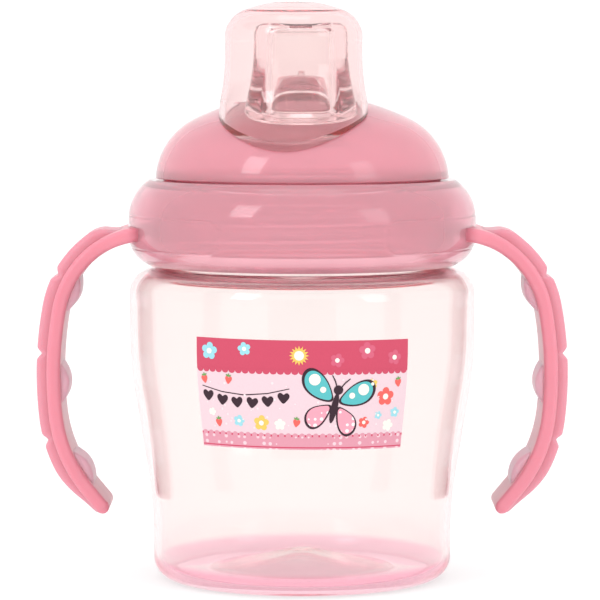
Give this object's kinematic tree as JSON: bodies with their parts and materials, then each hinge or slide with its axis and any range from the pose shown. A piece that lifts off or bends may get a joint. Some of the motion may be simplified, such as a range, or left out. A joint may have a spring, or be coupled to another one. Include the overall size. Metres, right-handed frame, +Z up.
{
  "type": "sippy cup",
  "caption": "Toddler training cup: clear tapered beaker, screw ring with open side handles, domed lid, soft oval spout and clear lift-off hood.",
  "frame": {"origin": "middle of the foot, on the plane that the cup stands on", "axes": "+Z up along the beaker's axis, -Y towards the spout and the print, handles on +X and -X"},
  "size_m": [0.1204, 0.079, 0.131],
  "materials": {
    "clear_body": "near-clear, faintly pink polypropylene, glossy",
    "print_ink": "printed film, satin",
    "seal_silicone": "translucent silicone, satin",
    "ring_pink": "translucent pink polypropylene, glossy",
    "handle_pink": "pink polypropylene, slightly translucent, satin",
    "grip_pink": "soft pink elastomer, satin",
    "dome_pink": "translucent pink polypropylene, glossy",
    "spout_silicone": "clear silicone, satin",
    "valve_silicone": "clear silicone, satin",
    "hood_clear": "clear, faintly pink polypropylene, glossy"
  },
  "bodies": {
    "cup": {"cup_body": "clear_body", "print_film": "print_ink"},
    "lid": {"dome_lid": "dome_pink", "seal_ring": "seal_silicone", "spout": "spout_silicone", "anti_spill_valve": "valve_silicone", "vent_valve": "valve_silicone"},
    "ring": {"screw_ring": "ring_pink", "handle_left": "handle_pink", "handle_right": "handle_pink", "grip_left": "grip_pink", "grip_right": "grip_pink"},
    "hood": {"hood": "hood_clear"}
  },
  "joints": [
    {"name": "lid_lift", "type": "slide", "parent": "cup", "child": "lid", "axis": [0, 0, 1], "range_m": [0, 0.0071]},
    {"name": "ring_turn", "type": "hinge", "parent": "lid", "child": "ring", "pos_m": [0, 0, 0.08], "axis": [0, 0, 1], "range_deg": [0, 720]},
    {"name": "hood_lift", "type": "slide", "parent": "lid", "child": "hood", "axis": [0, 0, 1], "range_m": [0, 0.045]}
  ],
  "couplings": [
    {"joint": "lid_lift", "follows": "ring_turn", "m_per_rad": 0.00055704}
  ]
}
